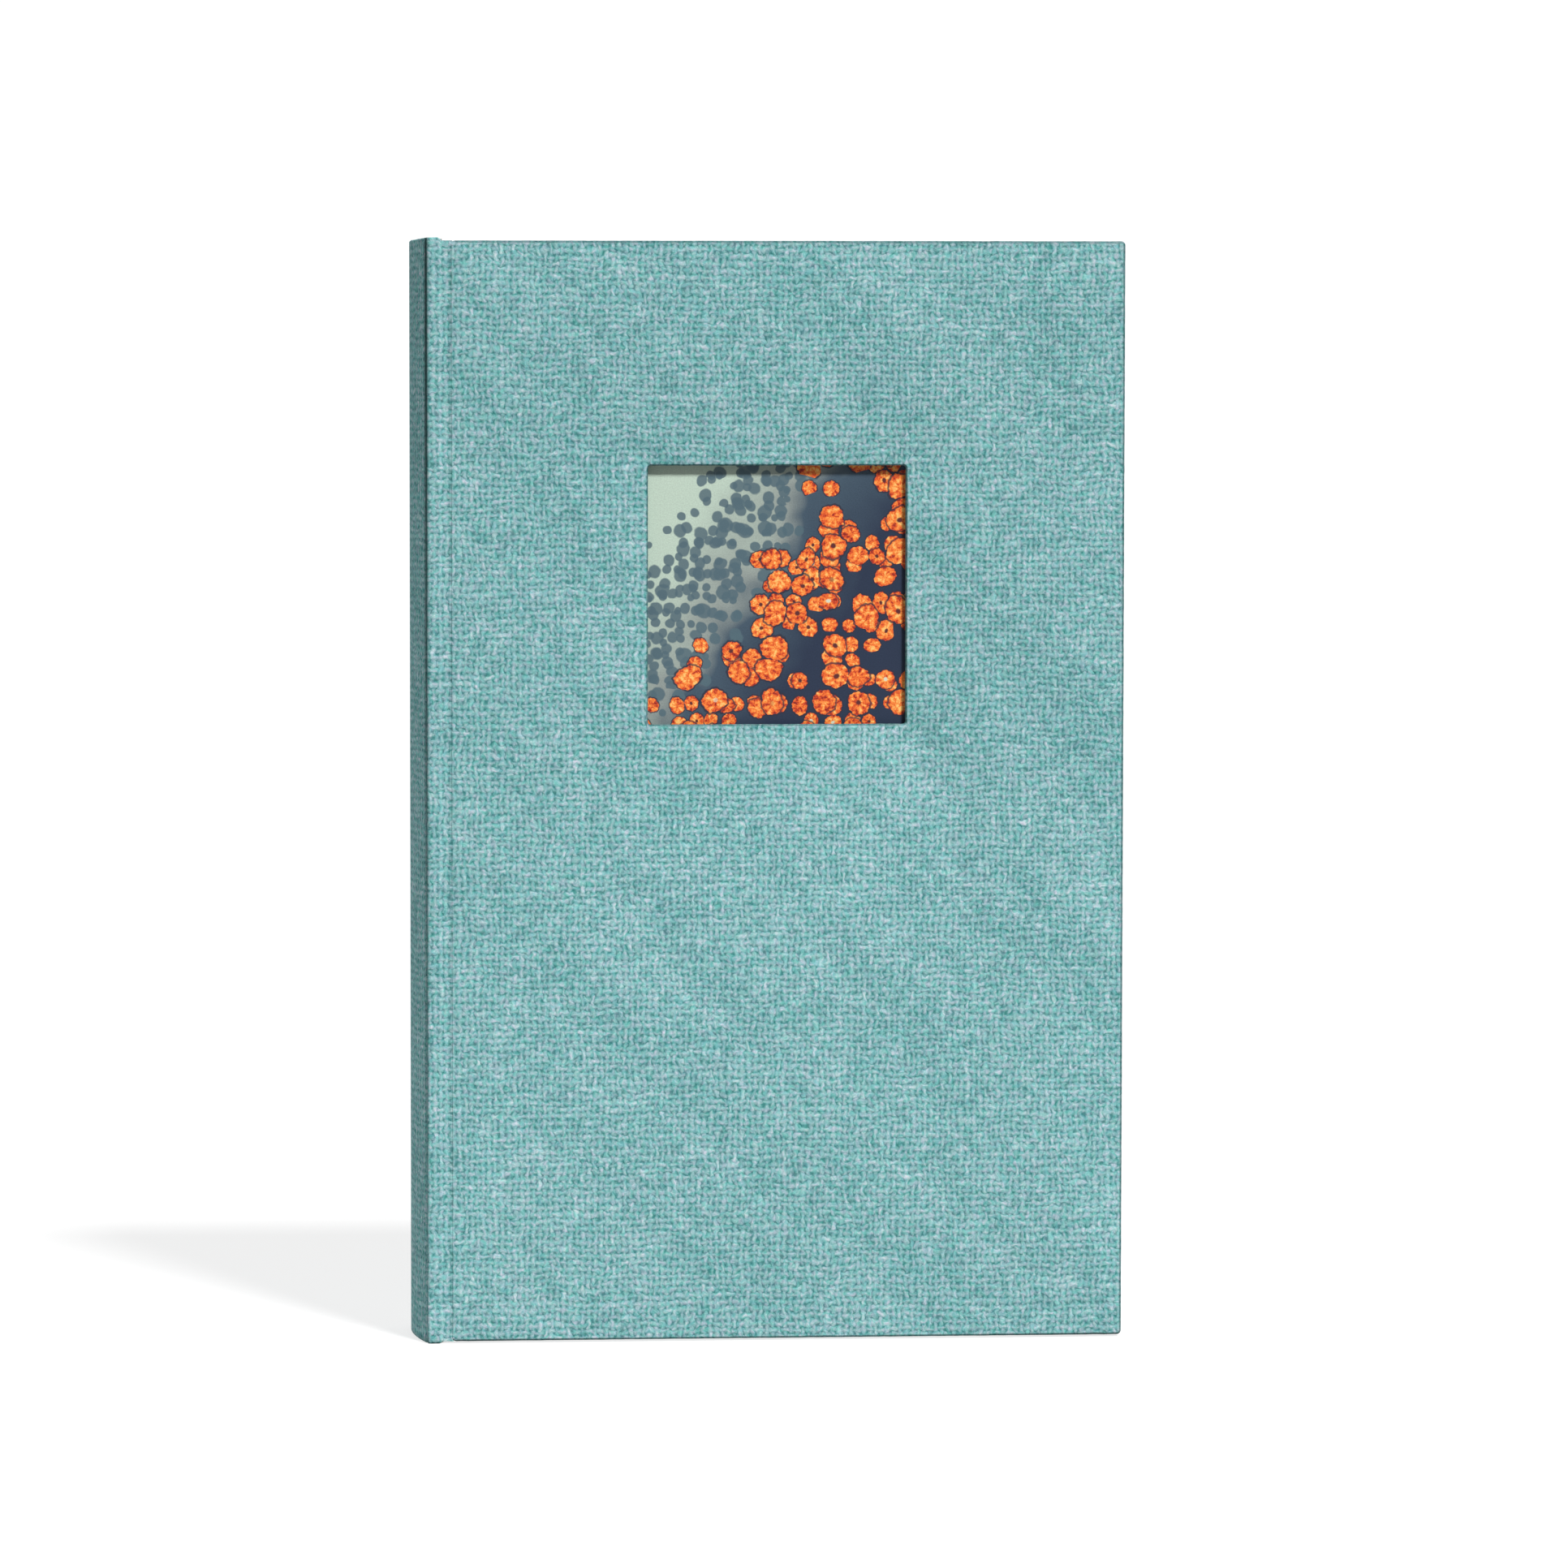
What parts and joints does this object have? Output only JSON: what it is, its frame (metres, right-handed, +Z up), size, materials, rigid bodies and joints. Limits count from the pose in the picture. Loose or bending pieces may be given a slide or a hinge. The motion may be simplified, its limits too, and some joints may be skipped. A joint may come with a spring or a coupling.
{
  "type": "scrapbook album",
  "caption": "Cloth-bound upright scrapbook album with a rounded spine, a square picture window in the front cover, and card leaves bound on guards with interleaf paper.",
  "frame": {"origin": "middle of the footprint, on the surface that the album stands on", "axes": "+Z up along the spine, -Y out of the front cover, -X out of the rounded spine"},
  "size_m": [0.24, 0.05, 0.3717],
  "materials": {
    "book_cloth": "matt heathered plain weave",
    "grey_board": "matt",
    "print": "satin",
    "endpaper": "matt, lightly textured",
    "leaf_card": "matt",
    "interleaf_paper": "smooth, translucent",
    "lining_crash": "open weave set in glue",
    "band_thread": "wound thread"
  },
  "bodies": {
    "binding": {"spine_cloth": "book_cloth", "spine_card": "grey_board", "front_shoulder_strip": "grey_board", "back_shoulder_strip": "grey_board", "front_joint_cloth": "book_cloth", "back_joint_cloth": "book_cloth", "guard_strips": "leaf_card", "leaf_margins": "leaf_card", "flyleaf_margins": "endpaper", "spine_lining": "lining_crash", "headband": "band_thread", "tailband": "band_thread"},
    "front_cover": {"front_cover_cloth": "book_cloth", "front_window_board": "grey_board", "window_print": "print", "front_backing_board": "grey_board", "front_liner": "grey_board", "front_pastedown": "endpaper"},
    "back_cover": {"back_cover_cloth": "book_cloth", "back_board": "grey_board", "back_liner": "grey_board", "back_pastedown": "endpaper"},
    "front_flyleaf": {"front_flyleaf": "endpaper"},
    "back_flyleaf": {"back_flyleaf": "endpaper"},
    "leaf_01": {"leaf_01": "leaf_card", "interleaf_01": "interleaf_paper"},
    "leaf_02": {"leaf_02": "leaf_card", "interleaf_02": "interleaf_paper"},
    "leaf_03": {"leaf_03": "leaf_card", "interleaf_03": "interleaf_paper"},
    "leaf_04": {"leaf_04": "leaf_card", "interleaf_04": "interleaf_paper"},
    "leaf_05": {"leaf_05": "leaf_card", "interleaf_05": "interleaf_paper"},
    "leaf_06": {"leaf_06": "leaf_card", "interleaf_06": "interleaf_paper"},
    "leaf_07": {"leaf_07": "leaf_card", "interleaf_07": "interleaf_paper"},
    "leaf_08": {"leaf_08": "leaf_card", "interleaf_08": "interleaf_paper"},
    "leaf_09": {"leaf_09": "leaf_card", "interleaf_09": "interleaf_paper"},
    "leaf_10": {"leaf_10": "leaf_card", "interleaf_10": "interleaf_paper"},
    "leaf_11": {"leaf_11": "leaf_card", "interleaf_11": "interleaf_paper"},
    "leaf_12": {"leaf_12": "leaf_card", "interleaf_12": "interleaf_paper"},
    "leaf_13": {"leaf_13": "leaf_card", "interleaf_13": "interleaf_paper"},
    "leaf_14": {"leaf_14": "leaf_card", "interleaf_14": "interleaf_paper"},
    "leaf_15": {"leaf_15": "leaf_card", "interleaf_15": "interleaf_paper"},
    "leaf_16": {"leaf_16": "leaf_card", "interleaf_16": "interleaf_paper"}
  },
  "joints": [
    {"name": "front_cover_hinge", "type": "hinge", "parent": "binding", "child": "front_cover", "pos_m": [-0.1085, -0.0254, 0.1857], "axis": [0, 0, -1], "range_deg": [0, 180]},
    {"name": "back_cover_hinge", "type": "hinge", "parent": "binding", "child": "back_cover", "pos_m": [-0.1085, 0.0254, 0.1857], "axis": [0, 0, 1], "range_deg": [0, 180]},
    {"name": "front_flyleaf_crease", "type": "hinge", "parent": "binding", "child": "front_flyleaf", "pos_m": [-0.1, -0.01957, 0.1857], "axis": [0, 0, -1], "range_deg": [0, 62]},
    {"name": "leaf_01_crease", "type": "hinge", "parent": "binding", "child": "leaf_01", "pos_m": [-0.1, -0.01738, 0.1857], "axis": [0, 0, -1], "range_deg": [0, 55.11]},
    {"name": "leaf_02_crease", "type": "hinge", "parent": "binding", "child": "leaf_02", "pos_m": [-0.1, -0.01506, 0.1857], "axis": [0, 0, -1], "range_deg": [0, 48.22]},
    {"name": "leaf_03_crease", "type": "hinge", "parent": "binding", "child": "leaf_03", "pos_m": [-0.1, -0.01275, 0.1857], "axis": [0, 0, -1], "range_deg": [0, 41.33]},
    {"name": "leaf_04_crease", "type": "hinge", "parent": "binding", "child": "leaf_04", "pos_m": [-0.1, -0.01043, 0.1857], "axis": [0, 0, -1], "range_deg": [0, 34.45]},
    {"name": "leaf_05_crease", "type": "hinge", "parent": "binding", "child": "leaf_05", "pos_m": [-0.1, -0.00811, 0.1857], "axis": [0, 0, -1], "range_deg": [0, 27.56]},
    {"name": "leaf_06_crease", "type": "hinge", "parent": "binding", "child": "leaf_06", "pos_m": [-0.1, -0.00579, 0.1857], "axis": [0, 0, -1], "range_deg": [0, 20.67]},
    {"name": "leaf_07_crease", "type": "hinge", "parent": "binding", "child": "leaf_07", "pos_m": [-0.1, -0.00348, 0.1857], "axis": [0, 0, -1], "range_deg": [0, 13.78]},
    {"name": "leaf_08_crease", "type": "hinge", "parent": "binding", "child": "leaf_08", "pos_m": [-0.1, -0.00116, 0.1857], "axis": [0, 0, -1], "range_deg": [0, 6.89]},
    {"name": "leaf_09_crease", "type": "hinge", "parent": "binding", "child": "leaf_09", "pos_m": [-0.1, 0.00116, 0.1857], "axis": [0, 0, 1], "range_deg": [0, 6.89]},
    {"name": "leaf_10_crease", "type": "hinge", "parent": "binding", "child": "leaf_10", "pos_m": [-0.1, 0.00348, 0.1857], "axis": [0, 0, 1], "range_deg": [0, 13.78]},
    {"name": "leaf_11_crease", "type": "hinge", "parent": "binding", "child": "leaf_11", "pos_m": [-0.1, 0.00579, 0.1857], "axis": [0, 0, 1], "range_deg": [0, 20.67]},
    {"name": "leaf_12_crease", "type": "hinge", "parent": "binding", "child": "leaf_12", "pos_m": [-0.1, 0.00811, 0.1857], "axis": [0, 0, 1], "range_deg": [0, 27.56]},
    {"name": "leaf_13_crease", "type": "hinge", "parent": "binding", "child": "leaf_13", "pos_m": [-0.1, 0.01043, 0.1857], "axis": [0, 0, 1], "range_deg": [0, 34.45]},
    {"name": "leaf_14_crease", "type": "hinge", "parent": "binding", "child": "leaf_14", "pos_m": [-0.1, 0.01275, 0.1857], "axis": [0, 0, 1], "range_deg": [0, 41.33]},
    {"name": "leaf_15_crease", "type": "hinge", "parent": "binding", "child": "leaf_15", "pos_m": [-0.1, 0.01506, 0.1857], "axis": [0, 0, 1], "range_deg": [0, 48.22]},
    {"name": "leaf_16_crease", "type": "hinge", "parent": "binding", "child": "leaf_16", "pos_m": [-0.1, 0.01738, 0.1857], "axis": [0, 0, 1], "range_deg": [0, 55.11]},
    {"name": "back_flyleaf_crease", "type": "hinge", "parent": "binding", "child": "back_flyleaf", "pos_m": [-0.1, 0.01957, 0.1857], "axis": [0, 0, 1], "range_deg": [0, 62]}
  ],
  "couplings": [
    {"joint": "front_flyleaf_crease", "follows": "front_cover_hinge", "ratio": 0.34444},
    {"joint": "leaf_01_crease", "follows": "front_cover_hinge", "ratio": 0.30617},
    {"joint": "leaf_02_crease", "follows": "front_cover_hinge", "ratio": 0.2679},
    {"joint": "leaf_03_crease", "follows": "front_cover_hinge", "ratio": 0.22963},
    {"joint": "leaf_04_crease", "follows": "front_cover_hinge", "ratio": 0.19136},
    {"joint": "leaf_05_crease", "follows": "front_cover_hinge", "ratio": 0.15309},
    {"joint": "leaf_06_crease", "follows": "front_cover_hinge", "ratio": 0.11482},
    {"joint": "leaf_07_crease", "follows": "front_cover_hinge", "ratio": 0.076544},
    {"joint": "leaf_08_crease", "follows": "front_cover_hinge", "ratio": 0.038272},
    {"joint": "leaf_09_crease", "follows": "back_cover_hinge", "ratio": 0.038272},
    {"joint": "leaf_10_crease", "follows": "back_cover_hinge", "ratio": 0.076544},
    {"joint": "leaf_11_crease", "follows": "back_cover_hinge", "ratio": 0.11482},
    {"joint": "leaf_12_crease", "follows": "back_cover_hinge", "ratio": 0.15309},
    {"joint": "leaf_13_crease", "follows": "back_cover_hinge", "ratio": 0.19136},
    {"joint": "leaf_14_crease", "follows": "back_cover_hinge", "ratio": 0.22963},
    {"joint": "leaf_15_crease", "follows": "back_cover_hinge", "ratio": 0.2679},
    {"joint": "leaf_16_crease", "follows": "back_cover_hinge", "ratio": 0.30617},
    {"joint": "back_flyleaf_crease", "follows": "back_cover_hinge", "ratio": 0.34444}
  ]
}
